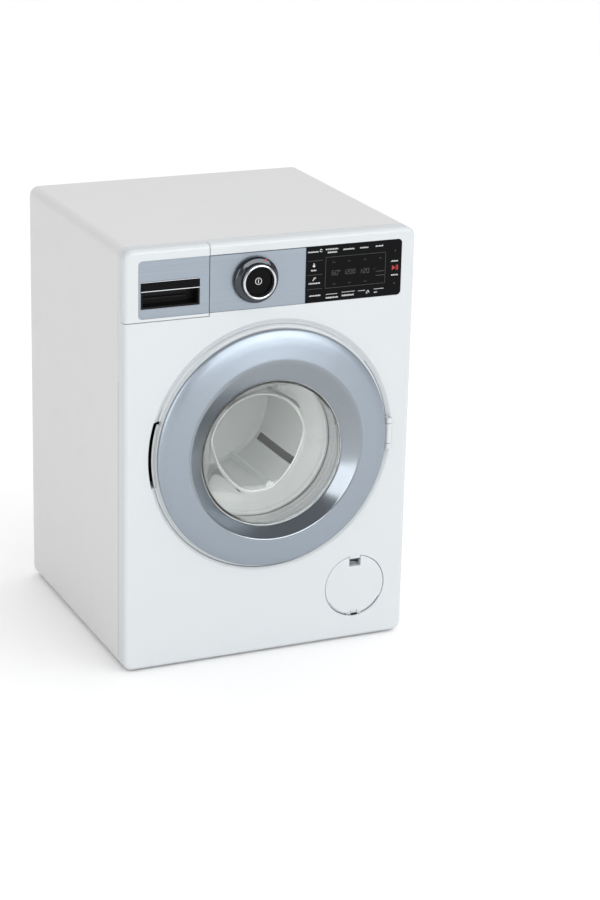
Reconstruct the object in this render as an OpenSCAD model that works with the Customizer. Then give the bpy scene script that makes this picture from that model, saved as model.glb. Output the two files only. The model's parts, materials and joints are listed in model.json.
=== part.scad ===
// Toy washing machine for role play, front loading, battery driven drum.
// Millimetres. Origin under the middle of the machine, +Z up, the door faces -Y.
// Inside most modules the front face of the cabinet is depth 0 and depth grows to the back.

/* [Cabinet] */
// Width of the cabinet
body_w = 184; // [178:1:190]
// Height from the ground to the top plate
body_h = 260; // [256:1:266]
// Depth of the cabinet without the door and the knob
body_d = 172; // [168:1:178]
// Corner radius of the cabinet seen from the front
corner_r = 6; // [5:0.5:8]
// Radius on the front and back edges
edge_r = 2.5; // [1.5:0.25:3]
// Wall of the cabinet shell
wall = 2.4; // [2:0.1:3]
// Depth of the moulded front panel
panel_d = 10; // [9:0.5:12]
// How far the rubber feet lift the cabinet
foot_lift = 1; // [0.6:0.1:2]

/* [Door] */
// Door centre, sideways
door_x = 1.6; // [0:0.1:3]
// Height of the door's centre
door_z = 132.3; // [131:0.1:134]
// Outer radius of the white door frame
frame_r = 76; // [75:0.1:76.1]
// Outer radius of the silver ring
ring_r = 73.9; // [73:0.1:74.5]
// Radius of the ring's front crease
crease_r = 55.8; // [54:0.1:57]
// How far the crease stands in front of the cabinet
crease_out = 8; // [7:0.1:9]
// Radius of the clear window inside the ring
window_r = 45.5; // [44:0.1:46]
// Height of the window's centre, a little under the door's
window_z = 128.5; // [128:0.1:130]
// Depth of the clear bowl
bowl_d = 23; // [18:0.5:23]
// Door hinge axis, sideways
hinge_x = 78; // [77.8:0.1:78.2]
// Door hinge axis, in front of the face
hinge_out = 0.8; // [0.6:0.1:1]

/* [Drum] */
// Inner radius of the drum
drum_r = 38; // [36:0.5:39]
// Inner radius of the drum's mouth
mouth_r = 45; // [44:0.5:45.5]
// Depth at which the drum's mouth starts
mouth_y = 21; // [21:0.5:23]
// Depth of the inside of the drum's back
drum_back = 98; // [90:1:98]
// Number of slots round the drum
slots = 6; // [3:1:8]
// Width of one slot
slot_w = 5; // [3:0.5:6]
// Angle of the first slot
slot_a = 25; // [0:5:55]

/* [Drive] */
// Teeth of the drum gear
drum_teeth = 44; // [44:1:44]
// Teeth of the idler's small pinion
idler_small = 11; // [11:1:11]
// Teeth of the idler's wheel
idler_teeth = 40; // [40:1:40]
// Teeth of the motor pinion
motor_teeth = 10; // [10:1:10]
// Module of the drum gear and its pinion
mod_a = 1.25; // [1.25:0.25:1.25]
// Module of the idler wheel and the motor pinion
mod_b = 1; // [1:0.25:1]
// Play cut from each gear's teeth
backlash = 0.16; // [0.12:0.02:0.2]

/* [Controls] */
// Knob centre, sideways
knob_x = -11.2; // [-13:0.1:-9]
// Knob centre, height
knob_z = 236.9; // [236:0.1:238]
// Radius of the knob's chrome base ring
knob_r = 13.9; // [13:0.1:14.5]
// How far the knob stands out
knob_out = 7.4; // [6.5:0.1:7.8]
// Lower edge of the silver strip
strip_z0 = 219.3; // [218.8:0.1:220]
// Upper edge of the silver strip
strip_z1 = 253.4; // [252.5:0.1:254]
// Where the black display starts
display_x0 = 20.9; // [18:0.1:24]
// Where the black display ends
display_x1 = 83; // [80:0.5:84]
// Travel of the power button
press = 1.2; // [0.8:0.1:1.4]

/* [Drawer] */
// Right edge of the drawer front
drawer_x1 = -39.9; // [-40.2:0.1:-39.7]
// Lower edge of the drawer front
drawer_z0 = 217.5; // [217.2:0.1:217.8]
// Depth of the drawer front, wrapped over the cabinet's edges
drawer_d = 5.5; // [5:0.1:5.6]
// Length of the tray behind the drawer front
tray_l = 72; // [60:1:74]
// How far the drawer pulls out
drawer_travel = 58; // [40:1:60]

/* [Service flap] */
// Flap centre, sideways
flap_x = 59.1; // [58:0.1:60]
// Flap centre, height
flap_z = 35.3; // [35:0.1:36]
// Flap radius
flap_r = 19.6; // [19:0.1:19.7]

/* [Hidden] */
$fn = 96;
face_y = -82;                 // the cabinet's front face
z0 = foot_lift;               // underside of the cabinet
zh = body_h - foot_lift;      // height of the shell
zc = z0 + zh / 2;
back = body_d;                // depth of the cabinet's rear edge
seam = 0.3;
sx = flap_x; sz = flap_z;
pin_z = flap_z - flap_r + 1.4;    // flap hinge axis, height
pin_y = 0.45;                     // flap hinge axis, depth
mx = door_x; mz = window_z;       // drum axis
dist_a = mod_a * (drum_teeth + idler_small) / 2 + 0.06;
dist_b = mod_b * (idler_teeth + motor_teeth) / 2 + 0.06;
ang_a = 120; ang_b = 60;
ix = mx + dist_a * cos(ang_a); iz = mz + dist_a * sin(ang_a);
ox = ix + dist_b * cos(ang_b); oz = iz + dist_b * sin(ang_b);
tub_r = 50.2; tub_back = 108;
catch_z = 106;                    // height of the door catch

// ---------- helpers ----------
// Moves a shape drawn in depth coordinates to the machine's frame
module face() { translate([0, face_y, 0]) children(); }
// Round bar along the depth axis
module disc(x, z, r, a, b) { translate([x, a, z]) rotate([-90, 0, 0]) cylinder(r = r, h = b - a); }
// Cone along the depth axis
module taper(x, z, r0, r1, a, b) { translate([x, a, z]) rotate([-90, 0, 0]) cylinder(r1 = r0, r2 = r1, h = b - a); }
// Revolved profile of [radius, depth] points round a depth axis
module rev(x, z, pts) { translate([x, 0, z]) rotate([-90, 0, 0]) rotate_extrude() polygon(pts); }
// Ring along the depth axis
module ring(x, z, ri, ro, a, b) { difference() { disc(x, z, ro, a, b); disc(x, z, ri, a - 1, b + 1); } }
// Block from corner to corner
module block(x0, x1, a, b, zl, zu) { translate([x0, a, zl]) cube([x1 - x0, b - a, zu - zl]); }
// Flat shape in x and z, given thickness in depth
module plate(a, b) { translate([0, b, 0]) rotate([90, 0, 0]) linear_extrude(b - a) children(); }
module rrect(x0, x1, y0, y1, r) {
  translate([x0 + r, y0]) square([x1 - x0 - 2 * r, y1 - y0]);
  translate([x0, y0 + r]) square([x1 - x0, y1 - y0 - 2 * r]);
  for (x = [x0 + r, x1 - r], y = [y0 + r, y1 - r]) translate([x, y]) circle(r = r);
}
// Rounded outline of the machine, set in by t
module outline(t) { rrect(-body_w / 2 + t, body_w / 2 - t, z0 + t, z0 + zh - t, max(corner_r - t, 0.8)); }
// Cutter that rounds the perimeter edge at depth 0
module edge2(f) { difference() { translate([-1, -1]) square([f + 1, f + 1]); translate([f, f]) circle(r = f); } }
module edge_cut(f) {
  w = body_w / 2; r = corner_r; zt = z0 + zh;
  for (s = [0, 1]) mirror([s, 0, 0]) translate([-w, 0, z0 + r]) linear_extrude(zh - 2 * r) edge2(f);
  translate([-w + r, 0, zt]) rotate([0, 90, 0]) linear_extrude(body_w - 2 * r) edge2(f);
  translate([w - r, 0, z0]) rotate([0, -90, 0]) linear_extrude(body_w - 2 * r) edge2(f);
  for (k = [0:3]) translate([(k == 0 || k == 3) ? w - r : -w + r, 0, k < 2 ? z0 + r : zt - r])
    rotate([0, 90 * k, 0]) rotate([-90, 0, 0]) rotate_extrude(angle = 90)
      difference() { translate([r - f, -1]) square([f + 1, f + 1]); translate([r - f, f]) circle(r = f); }
}
module cap_solid(d) { difference() { plate(0, d) outline(0); edge_cut(edge_r); } }

// Pan head screw along the depth axis, head towards the back, with a cross recess
module screw(x, z, head, len, hr = 2.6, sr = 1.25, hh = 1.7) {
  difference() {
    union() { disc(x, z, hr, head - hh, head); disc(x, z, sr, head - hh - len, head - hh + 0.1); }
    block(x - hr * 0.62, x + hr * 0.62, head - 0.9, head + 1, z - 0.35, z + 0.35);
    block(x - 0.35, x + 0.35, head - 0.9, head + 1, z - hr * 0.62, z + hr * 0.62);
  }
}
// Pan head screw along the depth axis, head towards the front
module fscrew(x, z, head, len, hr = 2.6, sr = 1.25, hh = 1.7) {
  difference() {
    union() { disc(x, z, hr, head, head + hh); disc(x, z, sr, head + hh - 0.1, head + hh + len); }
    block(x - hr * 0.62, x + hr * 0.62, head - 1, head + 0.9, z - 0.35, z + 0.35);
    block(x - 0.35, x + 0.35, head - 1, head + 0.9, z - hr * 0.62, z + hr * 0.62);
  }
}

// Involute gear outline, 25 degree pressure angle, stub teeth
function inv(a) = tan(a) * 180 / PI - a;
function flank(rb, r) = r <= rb ? 0 : inv(acos(rb / r));
function tooth(m, n, lash, k) =
  let (rp = m * n / 2, rb = rp * cos(25), ra = rp + 0.8 * m, rf = rp - 1.05 * m,
       half = 90 / n - lash / rp * 90 / PI + inv(25),
       rs = [rf, max(rb, rf + 0.01), rp - 0.1 * m, rp + 0.4 * m, ra])
  concat([for (i = [0:4]) let (a = 360 * k / n - (half - flank(rb, rs[i]))) [rs[i] * cos(a), rs[i] * sin(a)]],
         [for (i = [0:4]) let (j = 4 - i, a = 360 * k / n + (half - flank(rb, rs[j]))) [rs[j] * cos(a), rs[j] * sin(a)]]);
module gear2(m, n, lash, turn) { rotate(turn) polygon([for (k = [0:n - 1]) each tooth(m, n, lash, k)]); }
// Gear whose face is drawn in x and z; turn counts from +x towards +z
module gear(x, z, m, n, turn, a, b) { plate(a, b) translate([x, z]) gear2(m, n, backlash / 2, turn); }

// ---------- cabinet ----------
corner_pts = [for (s = [-1, 1], t = [z0 + 11, z0 + zh - 11]) [s * (body_w / 2 - 11), t]];
front_pts = [for (s = [-1, 1], t = [z0 + 11, z0 + 205]) [s * (body_w / 2 - 11), t]];
module lug(p, a, b, r) {
  s = sign(p[0]);
  difference() {
    union() {
      disc(p[0], p[1], 5.5, a, b);
      block(min(p[0], s * (body_w / 2 - wall + 0.5)), max(p[0], s * (body_w / 2 - wall + 0.5)), a, b, p[1] - 5.5, p[1] + 5.5);
    }
    disc(p[0], p[1], r, a - 1, b + 1);
  }
}
module cabinet() color([0.86, 0.86, 0.86]) face() {
  union() {
    difference() {
      plate(panel_d + seam, back) outline(0);
      plate(panel_d - 1, back + 1) outline(wall);
      translate([0, back, 0]) mirror([0, 1, 0]) edge_cut(edge_r);
      for (s = [-1, 1], y = [30, 142]) translate([s * 72, y, z0 - 1]) cylinder(r = 8.2, h = 1 + 1.2);
    }
    // screw lugs at the front and in the rear corners
    for (p = front_pts) lug(p, 22, 26, 1.6);
    for (p = corner_pts) lug(p, back - 15, back - 4.35, 1.3);
    // stiffening ribs under the top plate and on the floor
    for (y = [60, 110]) {
      block(-body_w / 2 + wall - 0.4, body_w / 2 - wall + 0.4, y, y + 1.6, z0 + wall - 0.4, z0 + wall + 3);
      block(-body_w / 2 + wall - 0.4, body_w / 2 - wall + 0.4, y, y + 1.6, z0 + zh - wall - 2.2, z0 + zh - wall + 0.4);
    }
  }
}
module rubber_feet() color([0.25, 0.25, 0.26]) face()
  for (s = [-1, 1], y = [30, 142]) translate([s * 72, y, 0]) {
    translate([0, 0, 0.5]) cylinder(r = 8, h = z0 + 1.2 - 0.5);
    cylinder(r1 = 7.4, r2 = 8, h = 0.5);
  }

// ---------- front panel ----------
board_pts = [[-30, 224], [-30, 249], [76, 224], [76, 249]];
tub_pts = [for (a = [45, 135, 225, 315]) [mx + 56.5 * cos(a), mz + 56.5 * sin(a)]];
tray_x0 = -body_w / 2 + 7; tray_x1 = drawer_x1 - 3.4;
tray_z0 = drawer_z0 + 2.5; tray_z1 = body_h - 9.5;
module strip(t, x0, x1) { rrect(x0, x1, strip_z0 + t, strip_z1 - t, max(2.5 - t, 0.5)); }
module front_panel() color([0.92, 0.93, 0.94]) face() {
  union() {
    difference() {
      union() {
        difference() {
          cap_solid(panel_d);
          plate(2.5, panel_d + 1) outline(3.2);
        }
        // tongue that fits inside the cabinet
        difference() {
          plate(panel_d - 2, panel_d + 4) outline(wall + 0.25);
          plate(panel_d - 3, panel_d + 5) outline(wall + 1.4);
        }
        // dish round the door, collar for the seal, backing of the control strip
        disc(mx, door_z, 79.6, 1, 5.4);
        disc(mx, mz, 51.2, 2, 13.8);
        block(-41, display_x1 + 3, 1, 4.2, strip_z0 - 2, strip_z1 + 2);
        // bay of the detergent drawer
        block(-body_w / 2 + 2, -37.3, 5.9, 8.3, drawer_z0 - 2.6, z0 + zh - 1.2);
        block(-39.5, -37.3, 1, 8.3, drawer_z0 - 2.6, z0 + zh - 1.2);
        block(-body_w / 2 + 2, -37.3, 1, 8.3, drawer_z0 - 2.6, drawer_z0 - 0.4);
        // pocket behind the finger grip
        block(-79.5, -60, 3, 13.5, 113.8, 157.7);
        // screw posts
        for (p = front_pts) difference() { disc(p[0], p[1], 4.4, 1.5, 21.7); disc(p[0], p[1], 1.3, 8, 30); }
        for (p = tub_pts) disc(p[0], p[1], 4, 3, 13.8);
        for (p = board_pts) disc(p[0], p[1], 3, 3, 15.8);
      }
      // drawer bay opening, open to the left and to the top
      block(-body_w, -39.5, -1, 5.9, drawer_z0 - 0.4, body_h + 5);
      block(tray_x0 - 0.7, tray_x1 + 0.7, 5, 9, tray_z0 - 0.7, tray_z1 + 0.7);
      // recess for the door, with a wider bevel at its top
      disc(mx, door_z, frame_r + 0.4, -1, 3);
      taper(mx, door_z + 0.9, 79.3, 76.3, -0.5, 1.7);
      disc(mx, mz, 49.2, -1, 20);
      // space for the door's knuckle
      translate([hinge_x, -hinge_out, 126.3]) cylinder(r = 2.4, h = 13.1);
      // finger grip, and the slot of the door catch
      intersection() { disc(mx, door_z + 0.9, 78.8, -1, 12.5); block(-90, -62, -1, 12.5, 115.5, 156); }
      block(-67.7, -63.1, 0, 9, catch_z - 5.2, catch_z + 5.2);
      // control strip pocket, open towards the drawer
      plate(-1, 1.9) intersection() { strip(-0.1, -45, display_x1 + 0.1); translate([-39.6, 200]) square([140, 70]); }
      // display opening
      plate(0, 9) strip(3, display_x0 + 3, 72.8);
      disc(78.8, 236, 2.6, 0, 9);
      disc(knob_x, knob_z, 4.5, 0, 9);
      // service flap opening, hinge lug and relief
      disc(sx, sz, flap_r + 0.35, -1, 6);
      // tapped holes
      for (p = tub_pts) disc(p[0], p[1], 1.3, 6, 20);
      for (p = board_pts) disc(p[0], p[1], 1.0, 8, 20);
    }
    // door hinge ears
    for (a = [123, 139.3]) difference() {
      union() {
        translate([hinge_x, -hinge_out, a]) cylinder(r = 2, h = 3.4);
        block(hinge_x - 2, hinge_x + 2, -hinge_out, 4, a, a + 3.4);
      }
      translate([hinge_x, -hinge_out, a - 1]) cylinder(r = 0.92, h = 8);
    }
    // service flap hinge lug
    difference() {
      union() {
        translate([sx - 1.8, pin_y, pin_z]) rotate([0, 90, 0]) cylinder(r = 0.9, h = 3.6);
        block(sx - 1.8, sx + 1.8, pin_y, 2.5, pin_z - 2.4, pin_z + 0.3);
      }
      translate([sx - 3, pin_y, pin_z]) rotate([0, 90, 0]) cylinder(r = 0.51, h = 6);
    }
  }
}

// ---------- door ----------
screw_a = [45, 135, 225, 315];
module door_frame() color([0.9, 0.91, 0.92]) face() {
  union() {
    difference() {
      rev(mx, door_z, [[0, -1.3], [frame_r - 1.75, -1.3], [frame_r - 1.5, -1], [frame_r - 1.42, 0.4], [frame_r - 1.2, 1], [frame_r - 0.8, 1.45], [frame_r - 0.35, 1.65], [frame_r, 1.7], [frame_r, 2.3], [frame_r - 0.4, 2.7], [0, 2.7]]);
      disc(mx, mz, window_r - 0.3, -3, 4);
      disc(mx, mz, window_r + 3.7, -3, 1.1);
      for (a = screw_a) let (x = mx + 65.5 * cos(a), z = door_z + 65.5 * sin(a)) { disc(x, z, 1.5, -3, 4); disc(x, z, 3, 1.0, 4); }
      block(75.4, 90, -3, 5, 122, 143.7);
      // thinner rim over the finger grip, with a gap at its upper end
      intersection() { ring(mx, door_z, frame_r - 1.2, 80, -3, 2.1); block(-90, -60, -3, 2.1, 115.5, 156.2); }
      intersection() { ring(mx, door_z, frame_r - 1.5, 80, -3, 4); block(-90, -60, -3, 4, 154.2, 156.2); }
    }
    // hinge knuckle and its arm
    difference() {
      union() {
        translate([hinge_x, -hinge_out, 126.7]) cylinder(r = 2, h = 12.3);
        block(74.5, hinge_x, -1.3, 0.9, 126.8, 138.9);
      }
      translate([hinge_x, -hinge_out, 125]) cylinder(r = 0.96, h = 16);
    }
    // catch tongue with its round head
    block(-66.5, -64.3, 2, 7.5, catch_z - 4, catch_z + 4);
    translate([-65.4, 7.3, catch_z - 4]) cylinder(r = 1.35, h = 8);
  }
}
module door_ring() color([0.72, 0.75, 0.78]) face() {
  k = crease_out / 8;
  union() {
    difference() {
      union() {
        rev(mx, door_z, [[40, -1.3], [ring_r, -1.3], [ring_r, -2.4], [ring_r - 0.35, -3.05], [ring_r - 1.1, -3.6 * k], [ring_r - 3.9, -4.75 * k],
          [66, -5.8 * k], [62, -6.65 * k], [58.6, -7.35 * k], [56.6, -7.8 * k], [54.5, -8 * k], [40, -8 * k]]);
        disc(mx, mz, window_r + 3.5, -1.5, -0.3);
      }
      // cone down to the window, its lower end set lower than its upper one
      hull() {
        disc(mx, door_z + 0.38, crease_r + 1.0, -8.8 * k, -8.79 * k, $fn = 144);
        disc(mx, mz - 0.2, window_r - 0.5, 0.09, 0.1, $fn = 144);
      }
      // hollow back
      rev(mx, door_z, [[59.5, -1], [71.8, -1], [71.8, -2.2], [70, -3 * k], [66, -4 * k], [62, -4.9 * k], [59.5, -5.4 * k]]);
    }
    for (a = screw_a) let (x = mx + 65.5 * cos(a), z = door_z + 65.5 * sin(a)) difference() { disc(x, z, 3, -5 * k, -1.3); disc(x, z, 1.3, -4.6 * k, 0); }
  }
}
// Everything but the two flattened sides low on the bowl, left and right
module flats(h0, h1) {
  disc(mx, mz, 60, -2, 1.01);
  intersection() {
    taper(mx - 27 * cos(213), mz - 27 * sin(213), h0 + 27, h1 + 27, 1, 24);
    taper(mx - 27 * cos(331), mz - 27 * sin(331), h0 + 27, h1 + 27, 1, 24);
  }
}
module door_glass() color([0.85, 0.9, 0.92, 0.4]) face() {
  b = bowl_d;
  difference() {
    intersection() {
      rev(mx, mz, [[0, -0.28], [window_r + 3.3, -0.28], [window_r + 3.3, 1.08], [window_r - 0.6, 1.08], [window_r - 1.2, 2.6], [33.4, b - 4], [30.4, b - 1.4], [26.6, b - 0.4], [0, b + 0.4]]);
      union() flats(46.5, 25.4);
    }
    intersection() {
      rev(mx, mz, [[0, -1], [43.6, -1], [43.4, -0.28], [42.9, 1.2], [31.8, b - 4.4], [29.4, b - 2.6], [26, b - 1.9], [0, b - 1.1]]);
      union() flats(44.4, 23.3);
    }
  }
}
module door_screws() color([0.6, 0.6, 0.62]) face()
  for (a = screw_a) screw(mx + 65.5 * cos(a), door_z + 65.5 * sin(a), 2.2, 3.6, 2.5, 1.2, 1.15);
module hinge_pin() color([0.7, 0.7, 0.72]) face() translate([hinge_x, -hinge_out, 123.2]) cylinder(r = 0.9, h = 19.3);
module catch_keeper() color([0.08, 0.08, 0.09]) face() {
  difference() {
    block(-70, -60.8, 5.45, 12, catch_z - 6.5, catch_z + 6.5);
    block(-67.4, -63.4, 5, 10.4, catch_z - 5.5, catch_z + 5.5);
  }
  // liner on the floor of the finger grip's pocket
  intersection() { disc(mx, door_z + 0.9, 78.6, 11.4, 12.45); block(-90, -62.1, 11.4, 12.45, 115.6, 155.9); }
}
// Soft ring between the front panel and the tub
module door_seal() color([0.75, 0.76, 0.77]) face()
  rev(mx, mz, [[47, 3.2], [49.1, 3.2], [49.1, 13.6], [48.4, 14.4], [48.4, 19.4], [46.9, 19.4], [46.6, 18], [47.3, 16], [46.6, 14], [47.3, 12], [46.6, 10], [47.3, 8], [46.6, 6]]);

// ---------- tub and drum ----------
post_pts = [[36, 156], [-38.5, 140], [-32, 98], [35, 98]];
module tub() color([0.36, 0.38, 0.39]) face() difference() {
  union() {
    rev(mx, mz, [[tub_r, 14], [53.5, 14], [53.5, 16.2], [tub_r + 2, 18], [tub_r + 2, tub_back + 2.5], [0, tub_back + 2.5], [0, tub_back], [tub_r, tub_back]]);
    for (p = tub_pts) disc(p[0], p[1], 4.6, 14, 16.4);
    disc(mx, mz, 9, 104, 113.2);
    disc(ix, iz, 4, 110, 112.4);
    for (p = post_pts) disc(p[0], p[1], 3.6, 110, 125.9);
  }
  for (p = tub_pts) disc(p[0], p[1], 1.6, 12, 18);
  disc(mx, mz, tub_r, 14.01, 20);
  disc(mx, mz, 5.05, 100, 120);
  disc(ix, iz, 1.5, 111, 113);
  for (p = post_pts) disc(p[0], p[1], 1.2, 116, 127);
}
module tub_screws() color([0.6, 0.6, 0.62]) face() for (p = tub_pts) screw(p[0], p[1], 18.15, 8);
module drum() color([0.88, 0.89, 0.9]) face() {
  r = drum_r; o = drum_r + 2.2; t = drum_back;
  union() {
    difference() {
      rev(mx, mz, [[mouth_r + 0.6, mouth_y - 0.5], [mouth_r + 1.8, mouth_y - 0.2], [mouth_r + 2.2, mouth_y + 1], [mouth_r + 1.8, mouth_y + 3.5],
        [o + 4, mouth_y + 10], [o + 0.6, mouth_y + 15.4], [o, mouth_y + 18], [o, t + 2.4], [0, t + 2.4], [0, t], [r - 1.6, t], [r, t - 1.6],
        [r, mouth_y + 18], [r + 0.5, mouth_y + 15], [r + 3.8, mouth_y + 9.2], [mouth_r - 0.4, mouth_y + 3], [mouth_r, mouth_y + 0.3]]);
      for (i = [0:slots - 1]) translate([mx, 0, mz]) rotate([0, -slot_a - i * 360 / slots, 0])
        block(r - 3, r + 5, mouth_y + 17.5, t - 1.7, -slot_w / 2, slot_w / 2);
      disc(mx, mz, 3.02, t - 10, t + 10);
    }
    // hub and lifting ribs
    difference() {
      union() { taper(mx, mz, 8.5, 12, t - 6, t + 1); disc(mx, mz, 8, t + 1, t + 4.6); }
      disc(mx, mz, 3.02, t - 10, t + 10);
    }
    for (i = [0:2]) translate([mx, 0, mz]) rotate([0, -slot_a - 30 - i * 120, 0])
      translate([0, mouth_y + 19, 0]) rotate([-90, 0, 0]) linear_extrude(t - mouth_y - 18.5) polygon([[r + 1, -3.2], [r - 0.6, -2.6], [r - 2.4, -0.9], [r - 2.4, 0.9], [r - 0.6, 2.6], [r + 1, 3.2]]);
  }
}
module drum_shaft() color([0.75, 0.75, 0.77]) face() difference() { disc(mx, mz, 3, drum_back - 4, 129.6); disc(mx, mz, 1.25, drum_back - 5, drum_back + 8); }
module hub_screw() color([0.6, 0.6, 0.62]) face() fscrew(mx, mz, drum_back - 8.6, 10, 5, 1.2, 2.5);
module drum_bush() color([0.7, 0.55, 0.35]) face() difference() {
  union() { disc(mx, mz, 5, 103.2, 113.2); disc(mx, mz, 7, 102.9, 103.9); }
  disc(mx, mz, 3.06, 100, 120);
}
module drum_gear() color([0.92, 0.9, 0.84]) face() difference() {
  union() { gear(mx, mz, mod_a, drum_teeth, ang_a + 180 / drum_teeth, 114, 119); disc(mx, mz, 6.5, 113.5, 122); }
  disc(mx, mz, 3.01, 100, 130);
  for (a = [30:60:330]) disc(mx + 16 * cos(a), mz + 16 * sin(a), 5, 110, 125);
}
module idler_gear() color([0.9, 0.88, 0.8]) face() difference() {
  union() {
    gear(ix, iz, mod_a, idler_small, ang_a + 180, 112.9, 120.2);
    gear(ix, iz, mod_b, idler_teeth, ang_b + 180 / idler_teeth, 120.2, 124.4);
    disc(ix, iz, 4, 124, 125.4);
  }
  disc(ix, iz, 1.55, 110, 127);
}
module idler_axle() color([0.72, 0.72, 0.74]) face() disc(ix, iz, 1.49, 111.1, 128.4);
module motor_pinion() color([0.85, 0.68, 0.35]) face() difference() {
  gear(ox, oz, mod_b, motor_teeth, ang_b + 180, 119.6, 125);
  disc(ox, oz, 1.01, 110, 130);
}
module motor_shaft() color([0.75, 0.75, 0.77]) face() disc(ox, oz, 1, 119, 154.2);
module gearbox_plate() color([0.3, 0.32, 0.35]) face() difference() {
  union() {
    plate(126, 128.5) rrect(-43, 41, 92, 164, 4);
    plate(126, 128.5) rrect(ox - 15, ox + 15, 150, oz + 14, 4);
    disc(mx, mz, 7, 122.6, 130.8);
    for (s = [-1, 1]) block(ox + s * 11.2 - 1, ox + s * 11.2 + 1, 128, 142, oz - 6, oz + 6);
  }
  disc(mx, mz, 5.05, 120, 132);
  disc(ix, iz, 1.5, 120, 128.45);
  disc(ox, oz, 3.1, 120, 132);
  for (p = post_pts) disc(p[0], p[1], 1.6, 120, 130);
  for (p = [[-25, 112], [28, 112], [-25, 122], [28, 128]]) disc(p[0], p[1], 3.4, 120, 130);
}
module gearbox_screws() color([0.6, 0.6, 0.62]) face() for (p = post_pts) screw(p[0], p[1], 130.25, 9, 2.6, 1.15);
module rear_bush() color([0.7, 0.55, 0.35]) face() ring(mx, mz, 3.06, 5, 122.6, 130.8);
module motor_can() color([0.72, 0.73, 0.75]) face() difference() {
  union() {
    intersection() { disc(ox, oz, 10, 128.7, 148.5); block(ox - 10, ox + 10, 128, 150, oz - 7.5, oz + 7.5); }
    disc(ox, oz, 3, 127.2, 129);
  }
  disc(ox, oz, 1.06, 120, 160);
  disc(ox, oz, 6.8, 131, 147);
}
module motor_cap() color([0.2, 0.2, 0.22]) face() difference() {
  union() {
    intersection() { disc(ox, oz, 9.8, 148.6, 152.6); block(ox - 10, ox + 10, 148, 153, oz - 7.3, oz + 7.3); }
    disc(ox, oz, 3, 152, 153.6);
    for (s = [-1, 1]) block(ox + s * 5 - 0.8, ox + s * 5 + 0.8, 152, 156, oz - 0.2, oz + 0.2);
  }
  disc(ox, oz, 1.06, 120, 160);
}

// ---------- controls ----------
module knob_panel() color([0.68, 0.72, 0.76]) face() difference() {
  plate(0.35, 1.8) intersection() { rrect(-39.5, 30, strip_z0, strip_z1 - 0.45, 0.4); translate([-40, 200]) square([display_x0 - 0.05 + 40, 70]); }
  disc(knob_x, knob_z, 4.6, -1, 3);
}
module display_window() color([0.04, 0.04, 0.05]) face()
  plate(0.1, 1.8) intersection() { strip(0, 0, display_x1); translate([display_x0 + 0.05, 200]) square([100, 70]); }
module display_lamps() color([0.9, 0.75, 0.3]) face() for (x = [40.3, 49.4, 58.5, 78.8]) { disc(x, 236, 1.5, 9.5, 13.5); disc(x, 236, 2, 13.5, 15.95); }
module control_board() color([0.1, 0.4, 0.22]) face() difference() {
  plate(16, 17.6) rrect(-35, 82, 219.5, 253, 1.5);
  for (p = board_pts) disc(p[0], p[1], 1.3, 14, 20);
}
module board_parts() color([0.12, 0.12, 0.13]) face() {
  block(20, 32, 17.65, 19.9, 230, 242);
  block(44, 52, 17.65, 19.4, 232, 238);
  block(60, 70, 17.65, 23, 226, 230);
  disc(0, 230, 3, 17.65, 25);
  disc(8, 230, 3, 17.65, 25);
  block(-28, -18, 17.65, 23.5, 232, 238);
}
module board_screws() color([0.6, 0.6, 0.62]) face() for (p = board_pts) screw(p[0], p[1], 19.05, 5.5, 2.2, 0.95, 1.4);
module rotary_switch() color([0.2, 0.2, 0.23]) face() difference() {
  union() { block(knob_x - 9, knob_x + 9, 6.7, 11.5, knob_z - 9, knob_z + 9); disc(knob_x, knob_z, 6.5, 11, 12.4); }
  disc(knob_x, knob_z, 4.5, 6, 14);
}
module push_switch() color([0.25, 0.25, 0.27]) face() { block(knob_x - 3, knob_x + 3, 13.6, 15.95, knob_z - 3, knob_z + 3); disc(knob_x, knob_z, 1.5, 12.95, 14); }
module knob_body() color([0.3, 0.31, 0.33]) face() difference() {
  rev(knob_x, knob_z, [[2.15, -1.7], [2.15, 9.6], [4.2, 9.6], [4.4, 9.3], [4.4, 6.45], [3.7, 6.45], [3.7, 5.3], [4.4, 5.3], [4.4, -0.5], [knob_r - 1.7, -0.5], [knob_r - 1.7, -1.8],
    [10.6, -1.8], [10.4, -6.4], [8.9, -6.4], [8.9, -1.7]]);
}
module knob_base_ring() color([0.8, 0.82, 0.84]) face() difference() {
  rev(knob_x, knob_z, [[knob_r - 1.65, -0.4], [knob_r - 0.35, -0.4], [knob_r, -0.75], [knob_r, -1.5], [knob_r - 0.15, -1.95], [knob_r - 0.5, -2.35], [knob_r - 1, -2.65], [knob_r - 1.7, -2.9],
    [knob_r - 2.5, -3.15], [knob_r - 3.1, -3.4], [10.65, -3.5], [10.65, -1.85], [knob_r - 1.65, -1.85]]);
  translate([knob_x, 0, knob_z]) rotate([0, -65, 0]) block(knob_r - 1.5, knob_r + 1, -4, -2.05, -0.95, 0.95);
}
module knob_marker() color([0.75, 0.1, 0.1]) face() intersection() {
  rev(knob_x, knob_z, [[knob_r - 3, -2.1], [knob_r - 3, -3.4], [knob_r - 1.7, -2.95], [knob_r - 1, -2.7], [knob_r - 0.5, -2.4], [knob_r - 0.3, -2.1]]);
  translate([knob_x, 0, knob_z]) rotate([0, -65, 0]) block(knob_r - 1.45, knob_r + 1, -4, -2, -0.9, 0.9);
}
module knob_face_ring() color([0.85, 0.87, 0.89]) face()
  rev(knob_x, knob_z, [[8.9, -6.45], [10.4, -6.45], [10.3, -6.95], [10.05, -knob_out + 0.1], [9.65, -knob_out], [9.25, -knob_out + 0.1], [9, -knob_out + 0.4]]);
module knob_clip() color([0.7, 0.7, 0.72]) face() difference() {
  ring(knob_x, knob_z, 3.75, 5.6, 5.35, 6.35);
  block(knob_x - 2.6, knob_x + 2.6, 5, 7, knob_z - 8, knob_z - 1);
}
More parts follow.
